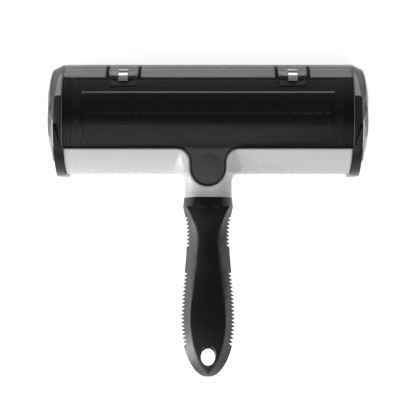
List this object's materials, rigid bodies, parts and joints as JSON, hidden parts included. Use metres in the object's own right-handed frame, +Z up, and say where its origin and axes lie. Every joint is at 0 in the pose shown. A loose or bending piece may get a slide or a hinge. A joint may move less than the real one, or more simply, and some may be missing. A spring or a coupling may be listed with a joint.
{
  "type": "pet hair removal brush",
  "caption": "Hand roller that lifts pet hair from fabric: wide head with rocking lint drum below, smoky hinged lid over a hair chamber, ribbed grip behind.",
  "frame": {"origin": "on the floor under the middle of the overall length and width, at rest", "axes": "+Z up, +Y towards the head's front edge, +X to the right seen from the grip"},
  "size_m": [0.1956, 0.1879, 0.056],
  "materials": {
    "white_shell": "satin white moulded plastic",
    "smoky_clear": "clear smoke-grey plastic, polished",
    "smoky_dark": "dark smoky see-through plastic, polished",
    "black_gloss": "black moulded plastic, semi-gloss",
    "black_satin": "black moulded plastic, satin",
    "bright_clip": "pale polished hinge clip",
    "bright_strip": "bright drawn strip",
    "steel": "bright steel",
    "wiper_rubber": "black rubber blade",
    "bush_plastic": "plain bearing plastic",
    "grip_rubber": "black soft-touch grip, ribbed sides",
    "lint_fabric": "dark short-pile lint fabric"
  },
  "bodies": {
    "housing": {"housing_shell": "white_shell", "base_frame": "white_shell", "hood": "smoky_clear", "end_plate_left": "black_gloss", "end_plate_right": "black_gloss", "chamber_tray": "black_satin", "hinge_tab_left": "black_satin", "hinge_tab_right": "black_satin", "hinge_clip_left": "bright_clip", "hinge_clip_right": "bright_clip", "hinge_pin_left": "steel", "hinge_pin_right": "steel", "scraper_strip": "bright_strip", "wiper_front": "wiper_rubber", "wiper_rear": "wiper_rubber", "bush_left": "bush_plastic", "bush_right": "bush_plastic", "base_screws": "steel", "grip": "grip_rubber"},
    "drum": {"drum_tube": "black_satin", "drum_cap_left": "black_satin", "drum_cap_right": "black_satin", "drum_axle_left": "steel", "drum_axle_right": "steel", "lint_pad_front": "lint_fabric", "lint_pad_rear": "lint_fabric"},
    "lid": {"lid": "smoky_dark"}
  },
  "joints": [
    {"name": "drum_rock", "type": "hinge", "parent": "housing", "child": "drum", "pos_m": [0, 0.06, 0.018], "axis": [1, 0, 0], "range_deg": [-22, 22]},
    {"name": "lid_hinge", "type": "hinge", "parent": "housing", "child": "lid", "pos_m": [0, 0.0828, 0.04431], "axis": [-1, 0, 0], "range_deg": [0, 95]}
  ]
}
